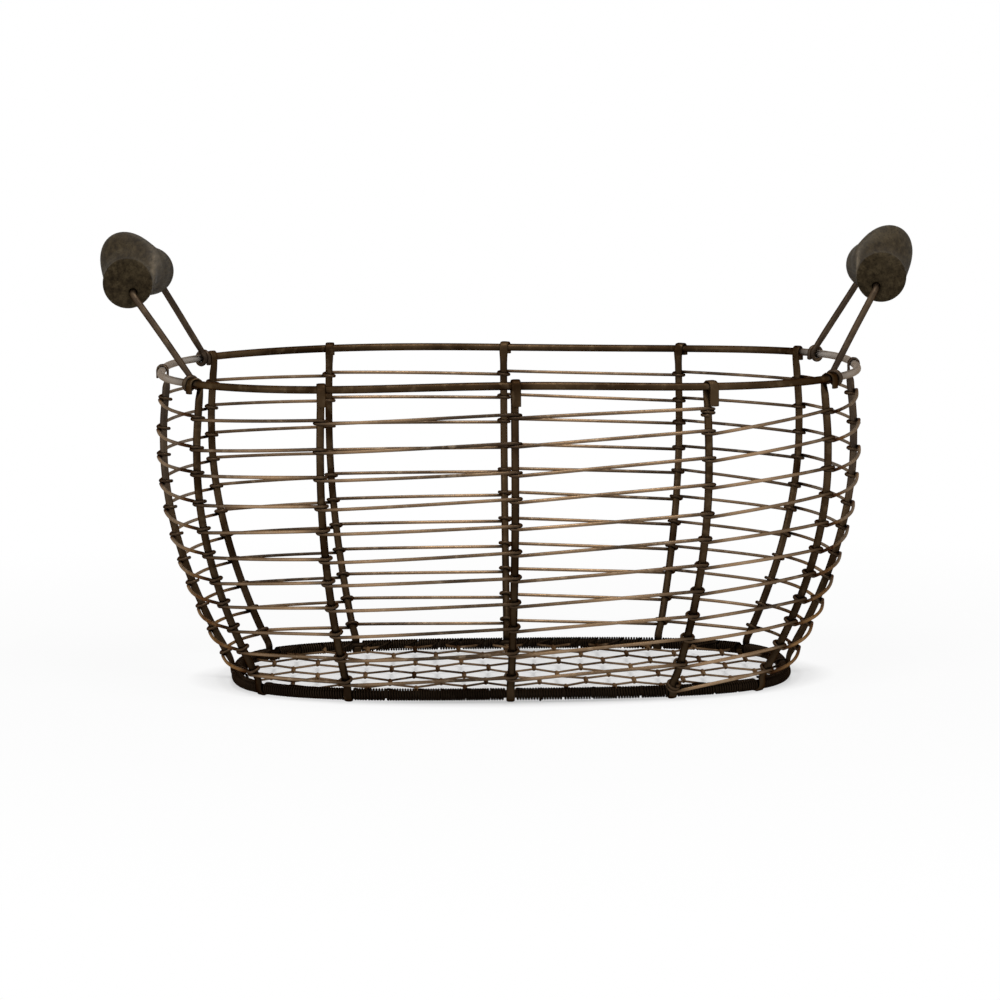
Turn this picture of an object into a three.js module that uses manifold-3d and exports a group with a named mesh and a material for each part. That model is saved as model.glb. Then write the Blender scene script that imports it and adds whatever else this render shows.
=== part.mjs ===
// Wire bread basket with two wooden grips, in millimetres.
// +X runs along the basket, -Y is the front, +Z is up, and the basket rests on z = 0.
import * as THREE from 'three';
import { mergeVertices } from 'three/addons/utils/BufferGeometryUtils.js';
import Module from 'manifold-3d';

const wasm = await Module();
wasm.setup();

// Gaps between pieces
const fit_gap = 0.3;
const self_gap = 0.65;
const cut_overrun = 1;

// Wire sizes
const frame_wire = 4;
const handle_wire = 3.5;
const row_wire = 1.4;
const net_wire = 1.1;

// Rim and base ring
const rim_half_length = 182;
const rim_half_width = 124.3;
const rim_power = 2.74;
const base_half_length = 144.5;
const base_half_width = 84.9;
const base_power = 3.08;
const wall_height = 160.3;

// Ribs
const rim_rib_shares = [0, 0.534, 0.882];
const base_rib_shares = [0, 0.572, 0.885];
const wall_straight_share = 0.26;
const wall_bow_power = 1.9;
const wall_steps = 6;
const tangent_share = 0.006;
const hook_thickness = 1.6;
const hook_width = 4.6;
const hook_tail = 10;
const hook_side = 2.6;
const hook_blend = 9;

// Rows of thin wire
const row_count = 11;
const row_below_tail = 3.8;
const last_row_above_base = 12;
const row_droop = 6;
const wrap_steps = 6;

// Handles
const foot_rib_gap = 3.3;
const crossbar_beyond_rim = 8.5;
const crossbar_above_rim = 44.2;
const crossbar_skew = 3;
const handle_bend_radius = 5;
const foot_tail = 3;
const foot_corners = 9;
const foot_search_steps = 40;

// Wooden grips
const grip_length = 106;
const grip_end_diameter = 25.6;
const grip_end_rise = 5.4;
const grip_belly_width = 27.8;
const grip_belly_height = 33.6;
const grip_floor = 1.4;
const grip_edge_round = 2.2;
const grip_end_play = 0.3;
const grip_swell_span_share = 1.19;
const grip_swell_power = 3.2;
const grip_stations = 9;
const grip_sides = 14;
const bore_sides = 8;

// Netting
const net_cell = 25.4;
const net_border = 1.4;
const smallest_cell_share = 0.12;

// Facets
const wire_sides = 6;
const bay_steps = 4;

// A regular section of this many sides has the area of a round wire
const corner_radius = (diameter, sides) => {
  const circle = Math.PI * diameter * diameter / 4;
  return Math.sqrt(2 * circle / (sides * Math.sin(2 * Math.PI / sides)));
};
const frame_corner = corner_radius(frame_wire, wire_sides);
const frame_flat = frame_corner * Math.cos(Math.PI / wire_sides);
const handle_corner = corner_radius(handle_wire, wire_sides);
const row_half = Math.sqrt(Math.PI) * row_wire / 4;
const hook_half = hook_thickness / 2;
const hook_radius = frame_corner + fit_gap + hook_half;

// Heights
const base_level = hook_radius + hook_half;
const rim_level = base_level + wall_height;

// Vectors
const vec = (x, y, z) => new THREE.Vector3(x, y, z);
const up = vec(0, 0, 1);
const ahead = vec(1, 0, 0);
const along = (p, d, s) => p.clone().addScaledVector(d, s);
const mix = (p, q, s) => p.clone().lerp(q, s);
const clamp = (value) => Math.min(1, Math.max(0, value));
const turn = (v, axis, angle) => v.clone().applyAxisAngle(axis, angle);

// Rounded oblong outline: a point at a polar angle, and the outward direction there
const outline_point = (a, b, power, angle, z) => {
  const c = Math.cos(angle);
  const s = Math.sin(angle);
  const sum = Math.pow(Math.abs(c) / a, power) + Math.pow(Math.abs(s) / b, power);
  const r = Math.pow(sum, -1 / power);
  return vec(r * c, r * s, z);
};
const outline_normal = (a, b, power, p) => {
  const nx = Math.sign(p.x) * Math.pow(Math.abs(p.x) / a, power - 1) / a;
  const ny = Math.sign(p.y) * Math.pow(Math.abs(p.y) / b, power - 1) / b;
  return vec(nx, ny, 0).normalize();
};
const angle_at_share = (a, b, power, share) => {
  const y = b * Math.pow(1 - Math.pow(share, power), 1 / power);
  return Math.atan2(y, a * share);
};

// Rib angles all round, starting at the right end
const all_round = (a, b, power, shares) => {
  const quarter = shares.map((share) => angle_at_share(a, b, power, share));
  const first = [0, ...quarter.slice().reverse()];
  const second = quarter.slice(1).map((angle) => Math.PI - angle);
  const half = [...first, ...second];
  return [...half, ...half.map((angle) => angle + Math.PI)];
};
const rim_angles = all_round(rim_half_length, rim_half_width, rim_power, rim_rib_shares);
const base_angles = all_round(base_half_length, base_half_width, base_power, base_rib_shares);
const rib_count = rim_angles.length;

// A closed surface through rings of points, all with the same number of points
const skin = (rings, closed) => {
  const sides = rings[0].length;
  const positions = rings.flat().flatMap((p) => [p.x, p.y, p.z]);
  const index = [];
  const quads = closed ? rings.length : rings.length - 1;
  for (let i = 0; i < quads; i += 1) {
    const here = i * sides;
    const next = ((i + 1) % rings.length) * sides;
    for (let j = 0; j < sides; j += 1) {
      const k = (j + 1) % sides;
      index.push(here + j, here + k, next + k);
      index.push(here + j, next + k, next + j);
    }
  }
  if (!closed) {
    const last = (rings.length - 1) * sides;
    for (let j = 1; j < sides - 1; j += 1) {
      index.push(0, j + 1, j);
      index.push(last, last + j, last + j + 1);
    }
  }
  const geometry = new THREE.BufferGeometry();
  geometry.setAttribute('position', new THREE.Float32BufferAttribute(positions, 3));
  geometry.setIndex(index);
  return geometry;
};

// Directions of a path before and after each point
const directions = (points, closed) => {
  const n = points.length;
  const step = points.map((p, i) => points[(i + 1) % n].clone().sub(p).normalize());
  return points.map((p, i) => {
    const before = i === 0 && !closed ? step[0] : step[(i + n - 1) % n];
    const after = i === n - 1 && !closed ? step[n - 2] : step[i];
    return { before, after };
  });
};

// Rings of a bar whose first section axis stays near one fixed direction
const rings_near = (points, hint, section, closed) => {
  const ways = directions(points, closed);
  return points.map((p, i) => {
    const { before, after } = ways[i];
    const way = before.clone().add(after).normalize();
    const first = along(hint, way, -hint.dot(way)).normalize();
    const second = way.clone().cross(first);
    const stretch = 1 / way.dot(after);
    return section(i).map(([f, s]) => along(along(p, first, f), second, s * stretch));
  });
};

// Rings of a bar whose section is carried along the path without twisting
const rings_carried = (points, start, section) => {
  const ways = directions(points, false);
  let first = along(start, ways[0].after, -start.dot(ways[0].after)).normalize();
  return points.map((p, i) => {
    const { before, after } = ways[i];
    const second = before.clone().cross(first);
    const way = before.clone().add(after).normalize();
    const ring = section.map(([f, s]) => {
      const q = along(along(p, first, f), second, s);
      const offset = q.clone().sub(p).dot(way) / before.dot(way);
      return along(q, before, -offset);
    });
    const axis = before.clone().cross(after);
    if (axis.length() > Number.EPSILON) {
      const angle = before.angleTo(after);
      first = turn(first, axis.normalize(), angle);
    }
    return ring;
  });
};

const round_section = (radius, sides) => {
  const list = [];
  for (let i = 0; i < sides; i += 1) {
    const angle = 2 * Math.PI * i / sides;
    list.push([radius * Math.cos(angle), radius * Math.sin(angle)]);
  }
  return list;
};
// Six-sided flat bar: half width along the first axis, half thickness along the second
const flat_section = (w, h) => [
  [w, 0], [w / 2, h], [-w / 2, h], [-w, 0], [-w / 2, -h], [w / 2, -h],
];
const square_section = (h) => [[h, h], [-h, h], [-h, -h], [h, -h]];

// Meshes
const group = new THREE.Group();
group.name = 'wire_bread_basket';
const add = (name, geometry, look) => {
  const material = new THREE.MeshStandardMaterial({
    color: new THREE.Color().setRGB(...look.rgb, THREE.SRGBColorSpace),
    roughness: look.roughness,
    metalness: look.metalness,
  });
  material.name = look.name;
  const mesh = new THREE.Mesh(geometry, material);
  mesh.name = name;
  geometry.computeVertexNormals();
  group.add(mesh);
};
const frame_look = { name: 'bronzed_wire', rgb: [0.24, 0.19, 0.14], roughness: 0.45, metalness: 0.9 };
const base_look = { name: 'dark_base_wire', rgb: [0.12, 0.08, 0.05], roughness: 0.5, metalness: 0.9 };
const row_look = { name: 'thin_wire', rgb: [0.36, 0.31, 0.26], roughness: 0.4, metalness: 0.9 };
const net_look = { name: 'netting_wire', rgb: [0.3, 0.25, 0.2], roughness: 0.5, metalness: 0.9 };
const wood_look = { name: 'dark_wood', rgb: [0.23, 0.19, 0.14], roughness: 0.5, metalness: 0 };

// Top rim and base ring: a section at each rib and three between
const ring_points = (a, b, power, angles, z) => {
  const points = [];
  angles.forEach((angle, i) => {
    const next = i + 1 < angles.length ? angles[i + 1] : 2 * Math.PI;
    for (let k = 0; k < bay_steps; k += 1) {
      points.push(outline_point(a, b, power, angle + (next - angle) * k / bay_steps, z));
    }
  });
  return points;
};
const rim_points = ring_points(
  rim_half_length, rim_half_width, rim_power, rim_angles, rim_level,
);
const base_points = ring_points(
  base_half_length, base_half_width, base_power, base_angles, base_level,
);
const ring_bar = (points) => {
  const section = round_section(frame_corner, wire_sides);
  return skin(rings_near(points, up, () => section, true), true);
};
add('top_rim', ring_bar(rim_points), frame_look);
add('base_ring', ring_bar(base_points), base_look);

// A line down the wall: straight at the top, then bowing in to the base ring
const inward_share = (t) => {
  const below = Math.max(0, t - wall_straight_share) / (1 - wall_straight_share);
  return Math.pow(below, wall_bow_power);
};
// The line lies a part of the way from one rib to the next
const wall_line = (i, part) => {
  const angle_in = (angles) => {
    const next = i + 1 < rib_count ? angles[i + 1] : 2 * Math.PI;
    return angles[i] + (next - angles[i]) * part;
  };
  const top = outline_point(
    rim_half_length, rim_half_width, rim_power, angle_in(rim_angles), rim_level,
  );
  const foot = outline_point(
    base_half_length, base_half_width, base_power, angle_in(base_angles), base_level,
  );
  const out = outline_normal(rim_half_length, rim_half_width, rim_power, top);
  const side = up.clone().cross(out);
  const at = (t) => {
    const p = mix(top, foot, inward_share(t));
    p.z = top.z + (foot.z - top.z) * t;
    return p;
  };
  return { top, foot, out, side, at };
};
const ribs = rim_angles.map((angle, i) => wall_line(i, 0));
const bay_middles = rim_angles.map((angle, i) => wall_line(i, 0.5));

// Corners of a path round a bar, at a set distance from its middle
const half_step = Math.PI / 8;
const round_corner = (radius, quarter_turns, which) => {
  const angle = quarter_turns * Math.PI / 2 + which * half_step;
  const reach = radius / Math.cos(half_step);
  return [reach * Math.cos(angle), reach * Math.sin(angle)];
};

// One rib: its top is flattened and hooked over the rim, its foot under the base ring
const rib_geometry = (rib, i) => {
  const place = i % (rib_count / 2);
  const beside_end = place === 1 || place === rib_count / 2 - 1;
  const swing = hook_side * (beside_end ? Math.sign(rib.top.x * rib.top.y) : 1);
  const points = [];
  const sections = [];
  const push = (p, w, h) => {
    points.push(p);
    sections.push(flat_section(w, h));
  };
  const near = (centre, [n, z], s) => {
    const p = along(along(centre, rib.out, n), rib.side, s);
    p.z += z;
    return p;
  };
  const w = hook_width / 2;
  const h = hook_half;
  const tail_top = round_corner(hook_radius, 0, 1);
  push(near(rib.top, [hook_radius, -hook_tail], swing), w, h);
  push(near(rib.top, tail_top, swing), w, h);
  push(near(rib.top, round_corner(hook_radius, 1, -1), swing * 0.75), w, h);
  push(near(rib.top, round_corner(hook_radius, 1, 1), swing * 0.25), w, h);
  push(near(rib.top, round_corner(hook_radius, 2, -1), 0), w, h);
  push(near(rib.top, [-hook_radius, -frame_corner], 0), w, h);
  const blend_share = (frame_corner + hook_blend) / wall_height;
  const foot_share = 1 - blend_share;
  for (let k = 0; k <= wall_steps; k += 1) {
    const t = blend_share + (foot_share - blend_share) * k / wall_steps;
    push(rib.at(t), frame_corner, frame_flat);
  }
  push(near(rib.foot, [hook_radius, frame_corner], 0), w, h);
  push(near(rib.foot, round_corner(hook_radius, 0, -1), 0), w, h);
  push(near(rib.foot, round_corner(hook_radius, -1, 1), 0), w, h);
  push(near(rib.foot, round_corner(hook_radius, -1, -1), 0), w, h);
  push(near(rib.foot, round_corner(hook_radius, -2, 1), 0), w, h);
  return skin(rings_near(points, rib.side, (k) => sections[k], false), false);
};
ribs.forEach((rib, i) => {
  const number = String(i + 1).padStart(2, '0');
  add(`rib_${number}`, rib_geometry(rib, i), frame_look);
});

// Rows of thin wire: each goes once round every rib and follows the wall to the next
const first_row_depth = hook_tail + row_below_tail;
const row_spacing = (wall_height - first_row_depth - last_row_above_base) / (row_count - 1);
const wrap_radius = frame_corner + fit_gap + row_half;
const wrap_pitch = 2 * row_half + self_gap;
const row_points = (row) => {
  const share_at = (line) => {
    const depth = first_row_depth + row * row_spacing;
    const middle = Math.sin(Math.PI * depth / wall_height);
    const endward = Math.pow(Math.abs(line.top.x) / rim_half_length, 2);
    return (depth + row_droop * middle * endward) / wall_height;
  };
  const centres = ribs.map((rib) => rib.at(share_at(rib)));
  const between = bay_middles.map((line) => line.at(share_at(line)));
  const axes = ribs.map((rib) => {
    const t = share_at(rib);
    return rib.at(t - tangent_share).sub(rib.at(t + tangent_share)).normalize();
  });
  const points = [];
  ribs.forEach((rib, i) => {
    const here = centres[i];
    const before = between[(i + rib_count - 1) % rib_count];
    const after = between[i];
    const come = here.clone().sub(before).setZ(0).normalize();
    const go = after.clone().sub(here).setZ(0).normalize();
    const bend = come.angleTo(go);
    const axis = axes[i];
    const way = come.clone().add(go).normalize();
    const side = along(way, axis, -way.dot(axis)).normalize();
    const out = side.clone().cross(axis);
    const step = (2 * Math.PI + bend) / wrap_steps;
    const reach = wrap_radius / Math.cos(step / 2);
    const pitch = wrap_pitch + wrap_radius * Math.abs(come.dot(axis));
    for (let k = 0; k < wrap_steps; k += 1) {
      const angle = -bend / 2 + step * (k + 0.5);
      const p = along(here, out, reach * Math.cos(angle));
      const q = along(p, side, reach * Math.sin(angle));
      const lowered = clamp((k - 1) / (wrap_steps - 3));
      points.push(along(q, axis, pitch * (0.5 - lowered)));
    }
    points.push(along(after, bay_middles[i].out, wrap_radius));
  });
  return points;
};
const rows = [];
for (let row = 0; row < row_count; row += 1) {
  const points = row_points(row);
  rows.push(points);
  const number = String(row + 1).padStart(2, '0');
  const section = square_section(row_half);
  add(`row_wire_${number}`, skin(rings_near(points, up, () => section, true), true), row_look);
}

// Handle wire: wound once round the rim at each foot, up the leg and across
const foot_radius = frame_corner + fit_gap + handle_corner;
const foot_pitch = 2 * handle_corner + self_gap;
const foot_from_rib = hook_width / 2 + foot_rib_gap + handle_corner + foot_pitch;
const foot_angle = (() => {
  const place = (angle) => outline_point(
    rim_half_length, rim_half_width, rim_power, angle, rim_level,
  );
  const rib_place = place(rim_angles[1]);
  let low = 0;
  let high = rim_angles[1];
  for (let i = 0; i < foot_search_steps; i += 1) {
    const middle = (low + high) / 2;
    if (place(middle).distanceTo(rib_place) > foot_from_rib) low = middle;
    else high = middle;
  }
  return low;
})();
const foot_winding = (end, face) => {
  const bare = outline_point(
    rim_half_length, rim_half_width, rim_power, foot_angle, rim_level,
  );
  const centre = vec(end * bare.x, face * bare.y, bare.z);
  const out = outline_normal(rim_half_length, rim_half_width, rim_power, centre);
  const toward_rib = up.clone().cross(out).multiplyScalar(end * face);
  const corners = [];
  for (let k = 0; k < foot_corners; k += 1) {
    const [n, z] = round_corner(foot_radius, 2, 2 * k - 1);
    const s = foot_pitch * clamp((k - 1) / (foot_corners - 3));
    const p = along(along(centre, out, n), toward_rib, s);
    p.z += z;
    corners.push(p);
  }
  const tail = along(along(centre, out, -foot_radius), toward_rib, foot_pitch);
  tail.z -= foot_tail;
  return [...corners, tail];
};
// A corner replaced by a short arc of the given radius
const soften = (a, corner, b, radius) => {
  const one = a.clone().sub(corner).normalize();
  const two = b.clone().sub(corner).normalize();
  const half = one.angleTo(two) / 2;
  const reach = radius / Math.tan(half);
  const middle = one.clone().add(two).normalize();
  const centre = along(corner, middle, radius / Math.sin(half));
  const quarter = (Math.PI / 2 - half) / 2;
  const near = along(centre, middle, -radius / Math.cos(quarter));
  const axis = one.clone().cross(two).normalize();
  const arm = near.sub(centre);
  return [
    along(corner, one, reach),
    centre.clone().add(turn(arm, axis, quarter)),
    centre.clone().add(turn(arm, axis, -quarter)),
    along(corner, two, reach),
  ];
};
const crossbar_reach = rim_half_length + crossbar_beyond_rim;
const crossbar_half_spread = grip_length / 2 + grip_end_play + handle_bend_radius;
const crossbar_end = (end, face) => vec(
  end * crossbar_reach + face * crossbar_skew, face * crossbar_half_spread,
  rim_level + crossbar_above_rim,
);
const handle_points = (end) => {
  const near_foot = foot_winding(end, -1);
  const far_foot = foot_winding(end, 1);
  const near_top = crossbar_end(end, -1);
  const far_top = crossbar_end(end, 1);
  return [
    ...near_foot.slice().reverse(),
    ...soften(near_foot[0], near_top, far_top, handle_bend_radius),
    ...soften(near_top, far_top, far_foot[0], handle_bend_radius),
    ...far_foot,
  ];
};
const handles = [-1, 1].map((end) => handle_points(end));
const end_names = ['left', 'right'];
handles.forEach((points, i) => {
  const section = round_section(handle_corner, wire_sides);
  const rings = rings_carried(points, ahead, section);
  add(`${end_names[i]}_handle_wire`, skin(rings, false), frame_look);
});

// Wooden grip: bored straight near its underside, its belly oval and arched outward
const bore_flat = handle_corner + fit_gap;
const bore_corner = bore_flat / Math.cos(Math.PI / bore_sides);
const grip_geometry = (end) => {
  const near = crossbar_end(end, -1);
  const far = crossbar_end(end, 1);
  const middle = mix(near, far, 0.5);
  const axis = far.clone().sub(near).normalize();
  const feet = mix(foot_winding(end, -1)[0], foot_winding(end, 1)[0], 0.5);
  const leg = middle.clone().sub(feet);
  const rise = along(leg, axis, -leg.dot(axis)).normalize();
  const side = axis.clone().cross(rise);
  const half = grip_length / 2;
  const outer = [];
  const add_ring = (y, half_width, half_height, offset) => {
    const ring = round_section(half_width, grip_sides).map(([s, r]) => {
      const p = along(middle, axis, y);
      return along(along(p, side, -s), rise, r * half_height / half_width + offset);
    });
    outer.push(ring);
  };
  const swell_length = grip_length * grip_swell_span_share;
  const swell = (y) => Math.pow(Math.cos(Math.PI * y / swell_length), grip_swell_power);
  const floor = swell(half);
  const part = (y) => (swell(y) - floor) / (1 - floor);
  const end_radius = grip_end_diameter / 2;
  const face_radius = end_radius - grip_edge_round;
  // The belly leaves a thin floor of wood under the bore
  const belly_rise = grip_belly_height / 2 - bore_corner - grip_floor;
  const swollen = (end_value, belly_value, y) => end_value + (belly_value - end_value) * part(y);
  add_ring(-half, face_radius, face_radius, grip_end_rise);
  for (let k = 0; k < grip_stations; k += 1) {
    const inner_half = half - grip_edge_round;
    const y = inner_half * (2 * k / (grip_stations - 1) - 1);
    add_ring(
      y,
      swollen(end_radius, grip_belly_width / 2, y),
      swollen(end_radius, grip_belly_height / 2, y),
      swollen(grip_end_rise, belly_rise, y),
    );
  }
  add_ring(half, face_radius, face_radius, grip_end_rise);
  const solid = skin(outer, false);
  const bore_half = half + cut_overrun;
  const bore = skin([-bore_half, bore_half].map((y) => {
    return round_section(bore_corner, bore_sides).map(([s, r]) => {
      const p = along(middle, axis, y);
      return along(along(p, side, -s), rise, r);
    });
  }), false);
  return cut(solid, bore);
};

// Boolean work on closed surfaces
const to_solid = (geometry) => {
  const mesh = new wasm.Mesh({
    numProp: 3,
    vertProperties: new Float32Array(geometry.getAttribute('position').array),
    triVerts: new Uint32Array(geometry.getIndex().array),
  });
  return new wasm.Manifold(mesh);
};
const from_solid = (solid) => {
  const mesh = solid.getMesh();
  const geometry = new THREE.BufferGeometry();
  const positions = new Float32Array(mesh.vertProperties);
  geometry.setAttribute('position', new THREE.BufferAttribute(positions, 3));
  geometry.setIndex(Array.from(mesh.triVerts));
  return geometry;
};
const cut = (body, tool) => from_solid(to_solid(body).subtract(to_solid(tool)));

[-1, 1].forEach((end, i) => {
  add(`${end_names[i]}_grip`, grip_geometry(end), wood_look);
});

// Netting: six-sided cells inside a border, hooked round the base ring
const net_edge = frame_corner + fit_gap;
const inset_outline = (inset) => base_points.map((p) => {
  const out = outline_normal(base_half_length, base_half_width, base_power, p);
  return new THREE.Vector2(p.x - out.x * inset, p.y - out.y * inset);
});
// What lies inside a convex outline of a polygon, both counter-clockwise
const clip = (polygon, outline) => outline.reduce((kept, from, i) => {
  const edge = outline[(i + 1) % outline.length].clone().sub(from);
  const inside = kept.map((p) => edge.cross(p.clone().sub(from)));
  return kept.flatMap((p, j) => {
    const k = (j + 1) % kept.length;
    const points = inside[j] > 0 ? [p] : [];
    if (inside[j] > 0 !== inside[k] > 0) {
      points.push(p.clone().lerp(kept[k], inside[j] / (inside[j] - inside[k])));
    }
    return points;
  });
}, polygon);
const net_holes = () => {
  const inside = inset_outline(net_edge + net_border);
  const row_step = net_cell * Math.sqrt(3) / 2;
  const hole_radius = (net_cell - net_wire) / Math.sqrt(3);
  const hole_area = hole_radius * hole_radius * 3 * Math.sqrt(3) / 2;
  const columns = Math.ceil(base_half_length / net_cell);
  const lines = Math.ceil(base_half_width / row_step);
  const holes = [];
  for (let line = -lines; line <= lines; line += 1) {
    for (let column = -columns; column <= columns; column += 1) {
      const centre = new THREE.Vector2(
        net_cell * (column + (line % 2 === 0 ? 0 : 0.5)), row_step * line,
      );
      const hexagon = [];
      for (let k = 0; k < 6; k += 1) {
        const angle = Math.PI * (2 * k + 1) / 6;
        const corner = new THREE.Vector2(Math.cos(angle), Math.sin(angle));
        hexagon.push(corner.multiplyScalar(hole_radius).add(centre));
      }
      const hole = clip(hexagon, inside);
      const area = hole.length > 2 ? THREE.ShapeUtils.area(hole) : 0;
      if (area > smallest_cell_share * hole_area) holes.push(hole);
    }
  }
  return holes;
};
// Netting wire hooked from the border under the base ring and up its outside
const tie_geometry = (line) => {
  const radius = net_edge + net_border / 2;
  const near = ([n, z]) => {
    const p = along(line.foot, line.out, n);
    p.z += z;
    return p;
  };
  const points = [
    near([-radius, 0]),
    near(round_corner(radius, -2, 1)),
    near(round_corner(radius, -1, -1)),
    near(round_corner(radius, -1, 1)),
    near(round_corner(radius, 0, -1)),
    near([radius, net_wire / 2]),
  ];
  const section = square_section(net_wire / 2);
  return skin(rings_near(points, line.side, () => section, false), false);
};
const holes = net_holes();
const net_shape = new THREE.Shape(inset_outline(net_edge));
net_shape.holes = holes.map((hole) => new THREE.Path(hole));
const sheet = new THREE.ExtrudeGeometry(net_shape, { depth: net_wire, bevelEnabled: false });
sheet.deleteAttribute('normal');
sheet.deleteAttribute('uv');
sheet.translate(0, 0, base_level - net_wire / 2);
const net = bay_middles.reduce((solid, line) => {
  return solid.add(to_solid(tie_geometry(line)));
}, to_solid(mergeVertices(sheet)));
add('base_net', from_solid(net), net_look);

// Least gap of a wound wire to itself, measured between points on its middle line
const least_gap = (points, closed, thickness, skip) => {
  const dense = [];
  const pieces = closed ? points.length : points.length - 1;
  for (let i = 0; i < pieces; i += 1) {
    const q = points[(i + 1) % points.length];
    const count = Math.ceil(points[i].distanceTo(q) / row_wire);
    for (let k = 0; k < count; k += 1) dense.push(mix(points[i], q, k / count));
  }
  const length = [0];
  for (let i = 1; i < dense.length; i += 1) {
    length.push(length[i - 1] + dense[i].distanceTo(dense[i - 1]));
  }
  const total = length[length.length - 1];
  let least = Infinity;
  for (let i = 0; i < dense.length; i += 1) {
    for (let j = i + 1; j < dense.length; j += 1) {
      const apart = length[j] - length[i];
      const way = closed ? Math.min(apart, total - apart) : apart;
      if (way > skip) least = Math.min(least, dense[i].distanceTo(dense[j]) - thickness);
    }
  }
  return least;
};
const row_gap = Math.min(...rows.map((points) => {
  return least_gap(points, true, 2 * row_half, Math.PI * wrap_radius);
}));
const handle_gap = Math.min(...handles.map((points) => {
  return least_gap(points, false, 2 * handle_corner, Math.PI * foot_radius);
}));
console.log(`least gap of a row wire to itself ${row_gap.toFixed(2)} mm`);
console.log(`least gap of a handle wire to itself ${handle_gap.toFixed(2)} mm`);
console.log(`netting cells ${holes.length}`);
console.log(`rim level ${rim_level.toFixed(2)}, base ring level ${base_level.toFixed(2)}`);

export default group;
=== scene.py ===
"""Looks of the wire bread basket with two wooden grips. Shapes are worked out in millimetres."""
import math

import bpy
import numpy as np
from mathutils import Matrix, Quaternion, Vector


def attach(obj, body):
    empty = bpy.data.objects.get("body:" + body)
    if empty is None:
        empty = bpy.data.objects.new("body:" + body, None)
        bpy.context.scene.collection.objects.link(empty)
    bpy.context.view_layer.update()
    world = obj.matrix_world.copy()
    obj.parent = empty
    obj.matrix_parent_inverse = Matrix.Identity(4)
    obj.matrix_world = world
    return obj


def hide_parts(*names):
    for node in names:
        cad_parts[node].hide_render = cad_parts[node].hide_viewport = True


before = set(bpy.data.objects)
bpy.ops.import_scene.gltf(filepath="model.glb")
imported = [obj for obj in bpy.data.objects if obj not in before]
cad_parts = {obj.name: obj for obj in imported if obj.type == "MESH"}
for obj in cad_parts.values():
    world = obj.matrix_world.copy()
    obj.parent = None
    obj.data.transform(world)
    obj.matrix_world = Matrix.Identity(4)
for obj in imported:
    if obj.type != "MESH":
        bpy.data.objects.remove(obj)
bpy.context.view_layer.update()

MM = 0.001
UP = np.array([0.0, 0.0, 1.0])
TURN = 2 * math.pi
HALF_TURN = math.pi
QUARTER_TURN = math.pi / 2


# Small helpers

def unit(v):
    return v / np.linalg.norm(v, axis=-1, keepdims=True)


def ease(t):
    t = np.clip(t, 0, 1)
    return t * t * (3 - 2 * t)


class Ring:
    """A level rounded oblong of wire. A place on it is a polar angle or a length along it."""

    def __init__(self, half_length, half_width, power, level):
        self.half_length = half_length
        self.half_width = half_width
        self.power = power
        self.level = level
        self.angles = np.linspace(0, TURN, 4001)
        steps = np.linalg.norm(np.diff(self.point(self.angles), axis=0), axis=1)
        self.lengths = np.concatenate(([0], np.cumsum(steps)))
        self.length = self.lengths[-1]

    def point(self, angle):
        c, s = np.cos(angle), np.sin(angle)
        total = (np.abs(c) / self.half_length) ** self.power
        total = total + (np.abs(s) / self.half_width) ** self.power
        r = total ** (-1 / self.power)
        return np.stack([r * c, r * s, self.level + 0 * r], -1)

    def out(self, p):
        n = np.zeros(np.shape(p))
        for axis, half in ((0, self.half_length), (1, self.half_width)):
            size = (np.abs(p[..., axis]) / half) ** (self.power - 1) / half
            n[..., axis] = np.sign(p[..., axis]) * size
        return unit(n)

    def angle_at(self, length):
        return np.interp(np.mod(length, self.length), self.lengths, self.angles)

    def length_at(self, angle):
        return np.interp(np.mod(angle, TURN), self.angles, self.lengths)

    def around(self, length, turn, radius):
        """Points round the bar: turn 0 is outside it and a quarter turn is above it."""
        length, turn = np.broadcast_arrays(np.asarray(length, float), np.asarray(turn, float))
        p = self.point(self.angle_at(length))
        n = (radius * np.cos(turn))[..., None]
        z = (radius * np.sin(turn))[..., None]
        return p + self.out(p) * n + UP * z

    def inside(self, p, inset):
        x = np.abs(p[..., 0]) / (self.half_length - inset)
        y = np.abs(p[..., 1]) / (self.half_width - inset)
        return x ** self.power + y ** self.power < 1


def spline(controls, step):
    """Points about a step apart on a smooth curve. A control may carry more than its place."""
    c = np.asarray(controls, float)
    gaps = np.linalg.norm(np.diff(c[:, :3], axis=0), axis=1)
    slopes = np.diff(c, axis=0) / gaps[:, None]
    weighted = slopes[:-1] * gaps[1:, None] + slopes[1:] * gaps[:-1, None]
    ways = np.vstack([slopes[:1], weighted / (gaps[1:] + gaps[:-1])[:, None], slopes[-1:]])
    parts = []
    for k, gap in enumerate(gaps):
        count = max(1, round(gap / step))
        t = (np.arange(count) / count)[:, None]
        blend = 3 * t**2 - 2 * t**3
        bend = ways[k] * (t - 2 * t**2 + t**3) + ways[k + 1] * (t**3 - t**2)
        parts.append(c[k] * (1 - blend) + c[k + 1] * blend + gap * bend)
    return np.vstack([*parts, c[-1:]])


def path_ways(path, closed):
    """The direction of a path at each point."""
    if closed:
        steps = unit(np.roll(path, -1, 0) - path)
        return unit(steps + np.roll(steps, 1, 0))
    steps = unit(np.diff(path, axis=0))
    return unit(np.vstack([steps[:1], steps[:-1] + steps[1:], steps[-1:]]))


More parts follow.
